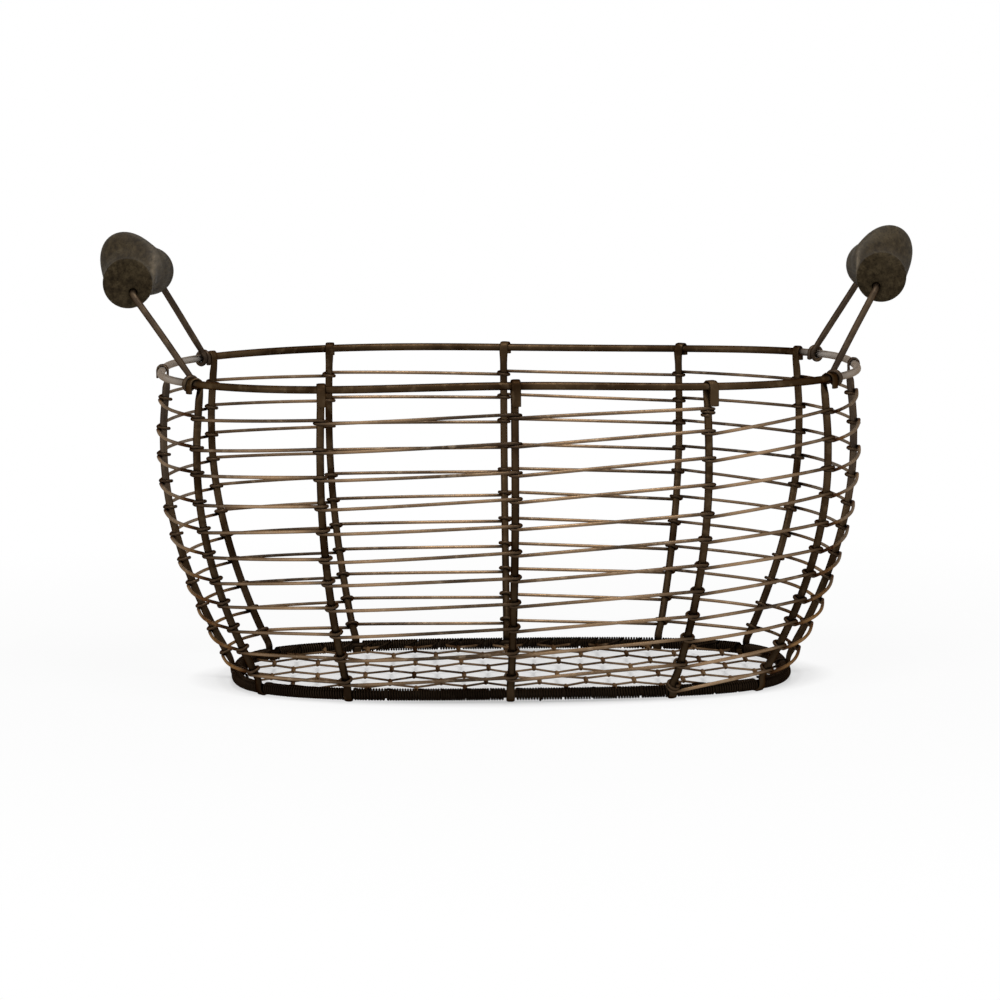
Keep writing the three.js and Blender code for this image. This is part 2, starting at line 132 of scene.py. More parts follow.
def carried_axes(ways, closed):
    """A section axis at each point, carried along the path without twisting."""
    start = np.cross(ways[0], UP)
    if np.linalg.norm(start) < 0.2:
        start = np.cross(ways[0], np.array([1.0, 0.0, 0.0]))
    axes = [unit(start)]
    for way in ways[1:]:
        axis = axes[-1] - way * (axes[-1] @ way)
        axes.append(unit(axis))
    axes = np.array(axes)
    if closed:
        last = axes[-1] - ways[0] * (axes[-1] @ ways[0])
        sine = np.cross(last, axes[0]) @ ways[0]
        missing = math.atan2(sine, last @ axes[0])
        angle = (missing * np.arange(len(axes)) / len(axes))[:, None]
        axes = axes * np.cos(angle) + np.cross(ways, axes) * np.sin(angle)
    return axes


# Where the rings of points of a rounded end stand, in degrees
END_ANGLES = (25, 50, 72)


def bar(path, half_width, half_height=None, squareness=1, closed=False, sides=8,
        near=None, shade=0, end_round=0.6):
    """A bar along a path: an ellipse in section, squarer where squareness is under 1."""
    n = len(path)
    spread = lambda value: np.broadcast_to(np.asarray(value, float), (n,)).copy()
    w = spread(half_width)
    h = w.copy() if half_height is None else spread(half_height)
    q, dark = spread(squareness), spread(shade)
    ways = path_ways(path, closed)
    if near is None:
        first = carried_axes(ways, closed)
    else:
        near = np.broadcast_to(near, path.shape)
        first = unit(near - ways * np.sum(near * ways, axis=1)[:, None])
    scale = np.ones(n)
    if not closed:
        before, after = [], []
        for degrees in END_ANGLES:
            angle = math.radians(degrees)
            reach = end_round * math.sin(angle)
            before.insert(0, (path[0] - ways[0] * reach * min(w[0], h[0]), math.cos(angle)))
            after.append((path[-1] + ways[-1] * reach * min(w[-1], h[-1]), math.cos(angle)))
        more = len(END_ANGLES)
        extend = lambda a: np.concatenate([[a[0]] * more, a, [a[-1]] * more])
        path = np.vstack([[p for p, _ in before], path, [p for p, _ in after]])
        scale = np.concatenate([[s for _, s in before], scale, [s for _, s in after]])
        w, h, q, dark, ways, first = map(extend, (w, h, q, dark, ways, first))
    second = np.cross(ways, first)
    angle = TURN * np.arange(sides) / sides
    c, s = np.cos(angle)[None, :], np.sin(angle)[None, :]
    across = (np.sign(c) * np.abs(c) ** q[:, None] * (w * scale)[:, None])[..., None]
    over = (np.sign(s) * np.abs(s) ** q[:, None] * (h * scale)[:, None])[..., None]
    points = path[:, None] + first[:, None] * across + second[:, None] * over
    return skin(points, closed, np.repeat(dark, sides))


def skin(rings, closed, shade):
    """A closed surface through rings of points, with a shade for each point."""
    n, sides = rings.shape[:2]
    here = np.arange(n if closed else n - 1)[:, None] * sides
    there = (here + sides) % (n * sides)
    j = np.arange(sides)[None, :]
    k = (j + 1) % sides
    quads = np.stack([here + j, here + k, there + k, there + j], -1).reshape(-1, 4)
    faces = quads.tolist()
    if not closed:
        faces.append(list(range(sides))[::-1])
        faces.append(list(range((n - 1) * sides, n * sides)))
    return rings.reshape(-1, 3), faces, shade


# The basket's lines

RIM = Ring(182, 124.3, 2.74, 164.4)
BASE = Ring(144.5, 84.9, 3.08, 4.1)
WALL_HEIGHT = RIM.level - BASE.level
# The wall is upright for this share of its height and then draws in by this power
WALL_STRAIGHT = 0.26
WALL_POWER = 1.9
# Just under the rim the wall is a little narrower
NECK = 2.2
NECK_DEPTH = 34
FRAME_RADIUS = 2.0
HANDLE_RADIUS = 1.75
ROW_RADIUS = 0.9
NET_RADIUS = 0.6
FRAME_SIDES = 16
HANDLE_SIDES = 14
RIB_COUNT = 12
ROW_COUNT = 11
rng = np.random.default_rng(11)


def rib_angles(ring, shares):
    """Polar angles of the ribs all round, with the angle of the first again at the end."""
    shares = np.array(shares)
    y = ring.half_width * (1 - shares**ring.power) ** (1 / ring.power)
    quarter = np.arctan2(y, ring.half_length * shares)
    half = [0, *quarter[::-1], *(HALF_TURN - quarter[1:])]
    return np.array([*half, *(np.array(half) + HALF_TURN), TURN])


RIM_ANGLES = rib_angles(RIM, [0, 0.534, 0.882])
BASE_ANGLES = rib_angles(BASE, [0, 0.572, 0.885])
# The feet of the front ribs stand a little to the left of even places
FRONT_RIBS = slice(7, 12)
FRONT_FOOT_SLIP = 2.2
front_feet = BASE.length_at(BASE_ANGLES[FRONT_RIBS]) - FRONT_FOOT_SLIP
BASE_ANGLES[FRONT_RIBS] = BASE.angle_at(front_feet)


def wall(place, depth):
    """A point on the wall: place counts ribs round the basket, depth is millimetres down."""
    place = np.mod(place, RIB_COUNT)
    top = RIM.point(np.interp(place, np.arange(RIB_COUNT + 1), RIM_ANGLES))
    foot = BASE.point(np.interp(place, np.arange(RIB_COUNT + 1), BASE_ANGLES))
    down = np.asarray(depth, float) / WALL_HEIGHT
    inward = (np.maximum(0, down - WALL_STRAIGHT) / (1 - WALL_STRAIGHT)) ** WALL_POWER
    neck = -NECK * (1 - ease(np.asarray(depth, float) / NECK_DEPTH))
    p = top + (foot - top) * inward[..., None] + RIM.out(top) * neck[..., None]
    p[..., 2] = RIM.level - depth
    return p


# The rim's wave: its height, and the length from a crest to the next trough
FRONT_WAVE, FRONT_WAVE_LENGTH = 1.2, 130
BACK_WAVE, BACK_WAVE_LENGTH = -1.0, 160
WAVE_POWER = 8
# How far above the rim the wave starts to die out, and over what height
WAVE_TOP, WAVE_FADE = 6, 22


def warped(points):
    """The basket isn't quite true: its rim waves a little, and the wave dies out lower down."""
    x, y, z = points.T
    front = FRONT_WAVE * np.cos(HALF_TURN * x / FRONT_WAVE_LENGTH)
    back = BACK_WAVE * np.sin(HALF_TURN * x / BACK_WAVE_LENGTH)
    toward_back = np.clip(0.5 + y / (2 * RIM.half_width), 0, 1)
    wave = front * (1 - toward_back) + back * toward_back
    low = np.clip(z / RIM.level, 0, 1) ** WAVE_POWER
    high = 1 - ease((z - RIM.level - WAVE_TOP) / WAVE_FADE)
    return points + UP * (wave * low * high)[:, None]


def piece(name, bars, look, node, body="basket", true=False):
    """One piece of the scene, made of closed bars, that stands for a node of the frame."""
    points = np.vstack([b[0] for b in bars])
    faces, start = [], 0
    for b in bars:
        faces += [[i + start for i in face] for face in b[1]]
        start += len(b[0])
    mesh = bpy.data.meshes.new(name)
    placed = points if true else warped(points)
    mesh.from_pydata((placed * MM).tolist(), [], faces)
    mesh.polygons.foreach_set("use_smooth", [True] * len(faces))
    shade = mesh.attributes.new("shade", "FLOAT", "POINT")
    shade.data.foreach_set("value", np.concatenate([b[2] for b in bars]).astype(np.float32))
    mesh.materials.append(look)
    mesh.update()
    obj = bpy.data.objects.new(name, mesh)
    bpy.context.scene.collection.objects.link(obj)
    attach(obj, body)
    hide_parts(node)
    return obj


# Materials

class Graph:
    """Builds the nodes of a material or world."""

    def __init__(self, owner):
        owner.use_nodes = True
        self.tree = owner.node_tree
        self.tree.nodes.clear()

    def add(self, kind, inputs=None, **settings):
        node = self.tree.nodes.new("ShaderNode" + kind)
        for key, value in settings.items():
            setattr(node, key, value)
        for key, value in (inputs or {}).items():
            socket = self.socket(node.inputs, key)
            if isinstance(value, bpy.types.NodeSocket):
                self.tree.links.new(value, socket)
            else:
                socket.default_value = value
        return node

    @staticmethod
    def socket(sockets, key):
        if isinstance(key, int):
            return sockets[key]
        return next(s for s in sockets if s.identifier == key or s.name == key)

    def out(self, node, key=0):
        return self.socket(node.outputs, key)

    def noise(self, where, scale, detail=3, roughness=0.5):
        values = {"Vector": where, "Scale": scale, "Detail": detail, "Roughness": roughness}
        return self.out(self.add("TexNoise", values), "Fac")

    def ramp(self, value, stops):
        node = self.add("ValToRGB", {"Fac": value})
        colours = node.color_ramp
        while len(colours.elements) < len(stops):
            colours.elements.new(0.5)
        for element, (place, colour) in zip(colours.elements, stops):
            element.position = place
            element.color = (*colour, 1)
        return self.out(node, "Color")

    def mix(self, amount, a, b):
        values = {"Factor_Float": amount, "A_Color": a, "B_Color": b}
        return self.out(self.add("Mix", values, data_type="RGBA"), "Result_Color")

    def spread(self, value, low, high, to_low, to_high):
        values = {"Value": value, "From Min": low, "From Max": high,
                  "To Min": to_low, "To Max": to_high}
        return self.out(self.add("MapRange", values), "Result")

    def times(self, a, b):
        return self.out(self.add("Math", {0: a, 1: b}, operation="MULTIPLY"), 0)

    def object_place(self):
        return self.out(self.add("TexCoord"), "Object")

    def finish(self, shader, kind="OutputMaterial"):
        self.tree.links.new(shader, self.add(kind).inputs["Surface"])


def wire_look(name, dark, light, worn, wound, roughness, wear=0.4, drift=38):
    """Lacquered wire: its colour drifts between dark and light, with worn patches; where the shade
    attribute is below zero it is mixed toward a pale grey, a painted highlight at the basket's
    ends, and where it is above zero toward a darker colour.
    """
    made = bpy.data.materials.new(name)
    g = Graph(made)
    where = g.object_place()
    broad = g.noise(where, drift, 2)
    fine = g.noise(where, 520, 4, 0.6)
    colour = g.ramp(broad, [(0.36, dark), (0.64, light)])
    patches = g.spread(g.noise(where, 170, 3, 0.6), 0.54, 0.68, 0, wear)
    colour = g.mix(patches, colour, (*worn, 1))
    shade = g.out(g.add("Attribute", attribute_name="shade"), "Fac")
    # Shade below zero mixes toward a pale grey: a painted highlight toward the basket's ends, and a
    # slight greying of the handles and end ribs
    colour = g.mix(g.times(shade, -1), colour, (0.45, 0.41, 0.37, 1))
    colour = g.mix(shade, colour, (*wound, 1))
    rough = g.spread(fine, 0.3, 0.7, roughness - 0.09, roughness + 0.12)
    bump = g.add("Bump", {"Strength": 0.35, "Distance": 0.00012, "Height": fine})
    shader = g.add("BsdfPrincipled", {
        "Base Color": colour, "Metallic": 1.0, "Roughness": rough,
        "Specular Tint": (0.3, 0.22, 0.15, 1), "Normal": g.out(bump, "Normal"),
    })
    g.finish(g.out(shader))
    return made


def wood_look(name):
    """Dark stained wood with its grain along the grip, rubbed lighter in places, and a painted
    highlight band where the shade attribute is set.
    """
    made = bpy.data.materials.new(name)
    g = Graph(made)
    where = g.object_place()
    along = g.add("Mapping", {"Vector": where, "Scale": (1, 0.07, 1)})
    grain = g.noise(g.out(along), 430, 5, 0.62)
    lines = g.noise(g.out(along), 1500, 3, 0.5)
    rubbed = g.noise(where, 34, 3, 0.55)
    colour = g.ramp(grain, [(0.3, (0.016, 0.011, 0.006)), (0.5, (0.038, 0.027, 0.014)),
                            (0.72, (0.068, 0.05, 0.027))])
    colour = g.mix(g.spread(rubbed, 0.5, 0.72, 0, 0.4), colour, (0.09, 0.069, 0.04, 1))
    colour = g.mix(g.spread(lines, 0.56, 0.66, 0, 0.6), colour, (0.01, 0.007, 0.004, 1))
    # A painted highlight: a lighter brown band where the grip's shade attribute is set
    highlight_band = g.out(g.add("Attribute", attribute_name="shade"), "Fac")
    highlight_band = g.times(highlight_band, g.spread(grain, 0.3, 0.6, 0.2, 0.75))
    colour = g.mix(highlight_band, colour, (0.23, 0.18, 0.118, 1))
    rough = g.spread(rubbed, 0.35, 0.7, 0.75, 0.6)
    bump = g.add("Bump", {"Strength": 0.4, "Distance": 0.0002, "Height": lines})
    shader = g.add("BsdfPrincipled", {
        "Base Color": colour, "Roughness": rough, "Specular IOR Level": 0.03,
        "Normal": g.out(bump, "Normal"),
    })
    g.finish(g.out(shader))
    return made


frame_look = wire_look("lacquered_wire", (0.022, 0.0115, 0.005), (0.066, 0.041, 0.021),
                       (0.12, 0.082, 0.046), (0.012, 0.008, 0.005), roughness=0.42)
# The base ring's wire: a much darker copy of the frame's wire, as painted shade
shaded_base_look = wire_look("dark_base_wire", (0.008, 0.005, 0.003), (0.02, 0.013, 0.008),
                      (0.05, 0.036, 0.024), (0.008, 0.005, 0.003), roughness=0.5)
row_look = wire_look("thin_wire", (0.055, 0.038, 0.025), (0.33, 0.215, 0.125),
                     (0.38, 0.29, 0.2), (0.035, 0.022, 0.013), roughness=0.4, drift=16)
net_look = wire_look("netting_wire", (0.045, 0.026, 0.014), (0.2, 0.13, 0.075),
                     (0.3, 0.21, 0.135), (0.009, 0.006, 0.004), roughness=0.45, drift=24)
wood = wood_look("dark_wood")


# Rim and base ring

# Painted highlight toward the basket's two ends: where along the basket it starts, over what
# length, and how much
HIGHLIGHT_START, HIGHLIGHT_SPREAD, HIGHLIGHT_STRENGTH = 158, 16, -0.85
RING_STEP = 3.0


def end_highlight(path):
    """A painted highlight toward the two ends of the basket, as a shade below zero."""
    return HIGHLIGHT_STRENGTH * ease((np.abs(path[:, 0]) - HIGHLIGHT_START) / HIGHLIGHT_SPREAD)


def ring_bar(ring):
    lengths = np.arange(0, ring.length - 1, RING_STEP)
    path = ring.point(ring.angle_at(lengths))
    # The rim and base ring get the painted highlight toward the basket's ends
    return bar(path, FRAME_RADIUS, closed=True, sides=FRAME_SIDES, near=UP, shade=end_highlight(path))


piece("rim_bar", [ring_bar(RIM)], frame_look, "top_rim")
piece("base_bar", [ring_bar(BASE)], shaded_base_look, "base_ring")


# Ribs: flattened where they hook over the rim and under the base ring

# How far each rib's hooked tail is swung to one side, and how far it hangs
HOOKS = [(1.6, 4.0), (2.2, 4.6), (-2.0, 3.6), (-2.0, 3.4), (-2.0, 3.8), (-2.2, 4.6),
         (-1.6, 4.0), (-2.2, 5.0), (1.6, 8.6), (0.8, 9.6), (2.1, 9.8), (2.2, 5.0)]
# Distance of the wire's middle from the ring's, where it is bent over the rim and under the base
HOOK_RADIUS = 2.72
FOOT_HOOK_RADIUS = 3.05
# Sections of the rib: half width, half height and squareness
ROUND = (FRAME_RADIUS, FRAME_RADIUS, 1)
HOOK_FLAT = (2.3, 0.65, 0.6)
HALF_FLAT = (2.15, 1.35, 0.8)
FOOT_FLAT = (2.2, 1.0, 0.75)
FOOT_HALF_FLAT = (2.15, 1.3, 0.85)
# Points down the back of the hook: how far inside the rim's middle, level above it, section
HOOK_BACK = ((-2.7, -2.6, HOOK_FLAT), (-2.4, -5.4, HALF_FLAT), (-1.9, -8.6, ROUND))
# Depths at which the plain part of the rib starts and, from the base ring up, stops
PLAIN_FROM, PLAIN_TO = 12, 11
BEND_STEPS = 6
RIB_STEP = 1.1
# The rib gets darker from one depth on, over a height
DARK_FROM, DARK_FADE, DARK = 60, 80, 0.5
END_RIB_SHADE = -0.05


def rib_bar(i):
    top = RIM.point(RIM_ANGLES[i])
    foot = BASE.point(BASE_ANGLES[i])
    top_out, foot_out = RIM.out(top), BASE.out(foot)
    top_side, foot_side = np.cross(UP, top_out), np.cross(UP, foot_out)
    swing, tail = HOOKS[i]
    controls = []

    def add(centre, out, side, n, z, s, section, down):
        place = centre + out * n + side * s + UP * z
        lean = top_side * (1 - down) + foot_side * down
        controls.append([*place, *section, *lean])

    for z in np.linspace(-tail, -min(tail / 2, 2.5), 3):
        add(top, top_out, top_side, HOOK_RADIUS, z, swing, HOOK_FLAT, 0)
    for t in np.linspace(0, 1, BEND_STEPS + 1):
        n = HOOK_RADIUS * math.cos(HALF_TURN * t)
        z = HOOK_RADIUS * math.sin(HALF_TURN * t)
        add(top, top_out, top_side, n, z, swing * (1 - ease(t)), HOOK_FLAT, 0)
    for n, z, section in HOOK_BACK:
        add(top, top_out, top_side, n, z, 0, section, 0)
    for depth in np.linspace(PLAIN_FROM, WALL_HEIGHT - PLAIN_TO, 16):
        down = depth / WALL_HEIGHT
        lean = top_side * (1 - down) + foot_side * down
        controls.append([*wall(i, depth), *ROUND, *lean])
    add(foot, foot_out, foot_side, 3.0, 3.2, 0, FOOT_HALF_FLAT, 1)
    for t in np.linspace(0, 0.97, BEND_STEPS + 1):
        n = FOOT_HOOK_RADIUS * math.cos(HALF_TURN * t)
        z = -FOOT_HOOK_RADIUS * math.sin(HALF_TURN * t)
        add(foot, foot_out, foot_side, n, z, 0, FOOT_FLAT, 1)
    curve = spline(controls, RIB_STEP)
    shade = DARK * ease((RIM.level - curve[:, 2] - DARK_FROM) / DARK_FADE)
    if i % (RIB_COUNT // 2) == 0:
        shade = shade + END_RIB_SHADE
    return bar(curve[:, :3], curve[:, 3], curve[:, 4], curve[:, 5], sides=FRAME_SIDES,
               near=curve[:, 6:9], shade=shade, end_round=0.5)


for i in range(RIB_COUNT):
    piece(f"rib_bar_{i + 1:02d}", [rib_bar(i)], frame_look, f"rib_{i + 1:02d}")


# Thin wire: one length, wound once round every rib, that goes round the basket row by row

WRAP_RADIUS = FRAME_RADIUS + ROW_RADIUS + 0.05
WRAP_PITCH = 2 * ROW_RADIUS + 0.1
WRAP_STEPS = 24
BAY_STEPS = 14
BAY_FULLNESS = 0.62
END_RIB = 10
FIRST_ROW_DEPTH = 13.8
ROW_SPACING = 13.45
ROW_DROOP = 6
# How far the wire is below an even row at each rib from the end rib on, in row spacings
SAGS = [0.65, 0.16, -0.02, 0.0, 0.02, 0.02, 0.0, -0.08, 0.0, 0.17, 0.25, 0.12]
TOP_SAG = -0.1
# How much the wire's level at a rib and its reach outward in a bay vary
LEVEL_VARIES = 0.45
BULGE_VARIES = 0.35
WOUND_SHADE = 0.9
NEAR_RIB_SHADE = 0.6


def row_depth(row, place):
    even = FIRST_ROW_DEPTH + ROW_SPACING * row
    top = RIM.point(np.interp(place, np.arange(RIB_COUNT + 1), RIM_ANGLES))
    endward = (top[..., 0] / RIM.half_length) ** 2
    return even + ROW_DROOP * np.sin(HALF_TURN * even / WALL_HEIGHT) * endward


def thin_wire():
    """The winding at each rib and the bay after it, from the lowest row up."""
    count = ROW_COUNT * RIB_COUNT
    n = np.arange(count + 1)
    rows = ROW_COUNT - 1 - n // RIB_COUNT + np.array(SAGS)[n % RIB_COUNT]
    rows[-1] = TOP_SAG
    place = (n + END_RIB) % RIB_COUNT
    slips = np.clip(rng.normal(0, LEVEL_VARIES, count + 1), -1, 1)
    depth = row_depth(rows, place) + slips
    centre = wall(place, depth)
    axis = unit(wall(place, depth - 1) - wall(place, depth + 1))
    chord = unit(np.diff(centre, axis=0))
    come, go = np.vstack([chord[:1], chord]), np.vstack([chord, chord[-1:]])
    flat = lambda way: unit(way - axis * np.sum(way * axis, axis=1)[:, None])
    come, go = flat(come), flat(go)
    side = unit(come + go)
    out = np.cross(side, axis)
    bend = np.arccos(np.clip(np.sum(come * go, axis=1), -1, 1))
    windings = []
    for i in n:
        rounds = 2 if i in (0, count) else 1
        t = np.linspace(0, 1, WRAP_STEPS * rounds + 1)[:, None]
        angle = -bend[i] / 2 + (TURN * rounds + bend[i]) * t
        ring = out[i] * np.cos(angle) + side[i] * np.sin(angle)
        level = WRAP_PITCH * rounds * (0.5 - t)
        windings.append(centre[i] + ring * WRAP_RADIUS + axis[i] * level)
    bays = []
    for i in range(count):
        t = np.linspace(0, 1, BAY_STEPS + 1)[1:-1]
        a, b = windings[i][-1], windings[i + 1][0]
        straight = a + (b - a) * t[:, None]
        between = place[i] + t
        on_wall = wall(between, depth[i] + (depth[i + 1] - depth[i]) * t)
        bulge = on_wall - centre[i] - (centre[i + 1] - centre[i]) * t[:, None]
        loose = rng.normal(0, BULGE_VARIES) * np.sin(HALF_TURN * t)
        bays.append(straight + bulge * BAY_FULLNESS + out[i] * loose[:, None])
    return windings, bays


def row_bar(row, windings, bays):
    first = (ROW_COUNT - 1 - row) * RIB_COUNT
    start = windings[first] if first == 0 else windings[first][-2:]
    path, shade = [start], [np.full(len(start), WOUND_SHADE)]
    near_rib = np.abs(np.linspace(-1, 1, BAY_STEPS - 1)) ** 6
    for i in range(first, first + RIB_COUNT):
        path += [bays[i], windings[i + 1]]
        # Darker beside the windings, and half the painted highlight toward the basket's ends
        shade.append(NEAR_RIB_SHADE * near_rib + end_highlight(bays[i]) / 2)
        shade.append(np.full(len(windings[i + 1]), WOUND_SHADE))
    return bar(np.vstack(path), ROW_RADIUS, shade=np.concatenate(shade))


windings, bays = thin_wire()
for row in range(ROW_COUNT):
    shape = row_bar(row, windings, bays)
    piece(f"row_{row + 1:02d}", [shape], row_look, f"row_wire_{row + 1:02d}")


# Netting: strands twisted together in pairs, with their ends wound round the base ring

CELL = 25.4
LINE_STEP = CELL * math.sqrt(3) / 2
TWIST_HALF = CELL / math.sqrt(3) / 2 * 0.88
TWIST_RADIUS = NET_RADIUS * 1.04
TWIST_POINTS = 25
TWIST_TURNS = 2
# Where a strand has points between one twist and the next
BETWEEN_TWISTS = (0.12, 0.37, 0.63, 0.88)
WIND_RADIUS = FRAME_RADIUS + NET_RADIUS + 0.03
WIND_PITCH = 2 * NET_RADIUS + 0.06
WIND_STEPS = 14
WIND_SHADE = 0.95
END_SPACING = 7.0
HALF_RIB = 2.7
# How far inside the ring's middle a strand stops, and the fewest points kept of one
NET_INSET = 6
FEWEST_POINTS = 12
SHARING_ROUNDS = 60
# Gap between neighbouring windings on the ring
WIND_GAP = 0.3
# The curve from a strand's tip to its winding
LEAD_REACH = 0.45
LEAD_STEPS = 8
# No strand's middle lies lower than this above the table
LOWEST_WIRE = NET_RADIUS + 0.3
# Lengths of the cut tails, and how often each comes
TAILS = [0.4, 0.7, 2.4]
TAIL_ODDS = [0.5, 0.35, 0.15]
# Each twist is a little out of its place
TWIST_SLIPS = np.clip(rng.normal(0, 0.8, (64, 64, 2)), -1.6, 1.6)


def strand(k):
    """The strand that swings between columns k and k + 1, from front to back."""
    lines = math.ceil(BASE.half_width / LINE_STEP)
    points = []
    for line in range(-lines, lines + 1):
        column = k if (k + line) % 2 else k + 1
        sign = 1 if column == k else -1
        slip_x, slip_y = TWIST_SLIPS[column, line]
        t = np.linspace(0, 1, TWIST_POINTS)
        turn = TWIST_TURNS * TURN * t
        x = CELL / 2 * column + slip_x + sign * TWIST_RADIUS * np.cos(turn)
        y = LINE_STEP * line + slip_y + TWIST_HALF * (2 * t - 1)
        z = BASE.level + sign * TWIST_RADIUS * np.sin(turn)
        twisted = np.stack([x, y, z], -1)
        if points:
            start = points[-1]
            points += [start + (twisted[0] - start) * share for share in BETWEEN_TWISTS]
        points.extend(twisted)
    return np.array(points)


def inside_runs(path):
    """The stretches of a strand that lie inside the base ring."""
    keep = BASE.inside(path, NET_INSET)
    runs, start = [], None
    for i, kept in enumerate([*keep, False]):
        if kept and start is None:
            start = i
        if not kept and start is not None:
            if i - start > FEWEST_POINTS:
                runs.append(path[start:i])
            start = None
    return runs


def spread_out(places, ribs):
    """Shares the ring out between the wires' ends: where each one's winding starts and stops."""
    order = np.argsort(places)
    stretches = {}
    for rib, next_rib in zip(ribs, [*ribs[1:], ribs[0] + BASE.length]):
        ends = [n for n in order if (places[n] - rib) % BASE.length < next_rib - rib]
        start, stop = rib + HALF_RIB, next_rib - HALF_RIB
        wanted = [rib + (places[n] - rib) % BASE.length for n in ends]
        middles = [(a + b) / 2 for a, b in zip(wanted, wanted[1:])]
        cuts = np.array([start, *middles, stop])
        for _ in range(SHARING_ROUNDS):
            short = np.maximum(0, END_SPACING - np.diff(cuts))
            cuts[1:-1] += (short[:-1] - short[1:]) / 2
        for n, a, b in zip(ends, cuts, cuts[1:]):
            stretches[n] = (a + WIND_GAP, b - WIND_GAP)
    return stretches


def winding(tip, way, start, stop):
    """From a strand's tip over the base ring and round it, ending in a short cut tail."""
    rounds = max(2, round((stop - start) / WIND_PITCH))
    t = np.linspace(0, 1, WIND_STEPS * rounds)
    turn = QUARTER_TURN - TURN * (rounds - rng.uniform(0.2, 0.8)) * t
    loop = BASE.around(start + (stop - start) * t, turn, WIND_RADIUS)
    out = BASE.out(loop[0] * [1, 1, 0])
    reach = np.linalg.norm(loop[0] - tip) * LEAD_REACH
    a, b = tip + way * reach, loop[0] - out * reach
    s = np.linspace(0, 1, LEAD_STEPS + 1)[1:-1, None]
    lead = tip * (1 - s) ** 3 + 3 * a * s * (1 - s) ** 2 + 3 * b * s**2 * (1 - s) + loop[0] * s**3
    tail = loop[-1] + unit(loop[-1] - loop[-2]) * rng.choice(TAILS, p=TAIL_ODDS)
    return np.vstack([lead, loop, tail])


def net_bars():
    columns = math.ceil(BASE.half_length / (CELL / 2))
    runs = [r for k in range(-columns, columns) for r in inside_runs(strand(k))]
    ring_points = BASE.point(BASE.angles)
    ends = []
    for run in runs:
        for tip, before in ((run[0], run[3]), (run[-1], run[-4])):
            aim = tip + unit(tip - before) * 3
            nearest = np.argmin(np.linalg.norm((ring_points - aim)[:, :2], axis=1))
            ends.append(BASE.lengths[nearest])
    stretches = spread_out(np.array(ends), BASE.length_at(BASE_ANGLES[:-1]))
    bars = []
    for n, run in enumerate(runs):
        first = winding(run[0], unit(run[0] - run[3]), *stretches[2 * n])
        last = winding(run[-1], unit(run[-1] - run[-4]), *stretches[2 * n + 1])
        path = np.vstack([first[::-1], run, last])
        wound = np.concatenate([np.ones(len(first)), np.zeros(len(run)), np.ones(len(last))])
        path[:, 2] = np.maximum(path[:, 2], LOWEST_WIRE)
        bars.append(bar(path, NET_RADIUS, shade=wound * WIND_SHADE))
    return bars


piece("net_strands", net_bars(), net_look, "base_net")


# Handles: wound once round the rim at each foot, up the leg and across

# The crossbar's distance from the basket's middle, its skew, half its length and its level
CROSSBAR = (190.5, 3.0, 58.3, 208.6)
BEND_RADIUS = 5.0
CORNER_STEPS = 8
FOOT_THICKNESS = 1.3
FOOT_RADIUS = FRAME_RADIUS + FOOT_THICKNESS + 0.06
FOOT_PITCH = 2 * FOOT_THICKNESS + 0.4
FOOT_STEPS = 26
# Levels of the cut tail's points below the end of the turn round the rim
TAIL_DROPS = np.array([[1.2], [2.6]])
LEG_STEPS = 12
CROSSBAR_STEPS = 20
HANDLE_SHADE = -0.04
# How far each foot is from the rib beside it, by end and face
FOOT_FROM_RIB = {(-1, -1): 6.9, (-1, 1): 8.6, (1, -1): 8.0, (1, 1): 16.0}


def crossbar_end(end, face):
    reach, skew, spread, level = CROSSBAR
    return np.array([end * reach + face * skew, face * spread, level])


def foot_place(end, face):
    angle = RIM_ANGLES[1] if end > 0 else HALF_TURN - RIM_ANGLES[1]
    rib = RIM.length_at(angle if face > 0 else TURN - angle)
    return rib - end * face * FOOT_FROM_RIB[end, face]


def foot(end, face):
    """From where the leg meets the rim, inside it, once round it and down into a tail."""
    place = foot_place(end, face)
    centre = RIM.point(RIM.angle_at(place))
    corner = crossbar_end(end, face) - centre
    n, z = corner @ RIM.out(centre), corner[2]
    start = math.atan2(z, n) + math.acos(FOOT_RADIUS / math.hypot(n, z))
    finish = 3 * HALF_TURN
    t = np.linspace(0, 1, FOOT_STEPS)
    lengths = place + end * face * FOOT_PITCH * ease((t - 0.04) / 0.86)
    loop = RIM.around(lengths, start + (finish - start) * t, FOOT_RADIUS)
    tail = loop[-1] - UP * TAIL_DROPS
    return np.vstack([loop, tail])


def rounded(a, corner, b):
    """Points of an arc that replaces a corner between two straight lengths."""
    one, two = unit(a - corner), unit(b - corner)
    half = math.acos(np.clip(one @ two, -1, 1)) / 2
    middle = unit(one + two)
    centre = corner + middle * BEND_RADIUS / math.sin(half)
    start = corner + one * BEND_RADIUS / math.tan(half) - centre
    axis = unit(np.cross(start, corner - centre))
    total = HALF_TURN - 2 * half
    arc = []
    for t in np.linspace(0, 1, CORNER_STEPS + 1):
        c, s = math.cos(total * t), math.sin(total * t)
        arc.append(centre + start * c + np.cross(axis, start) * s)
    return np.array(arc)


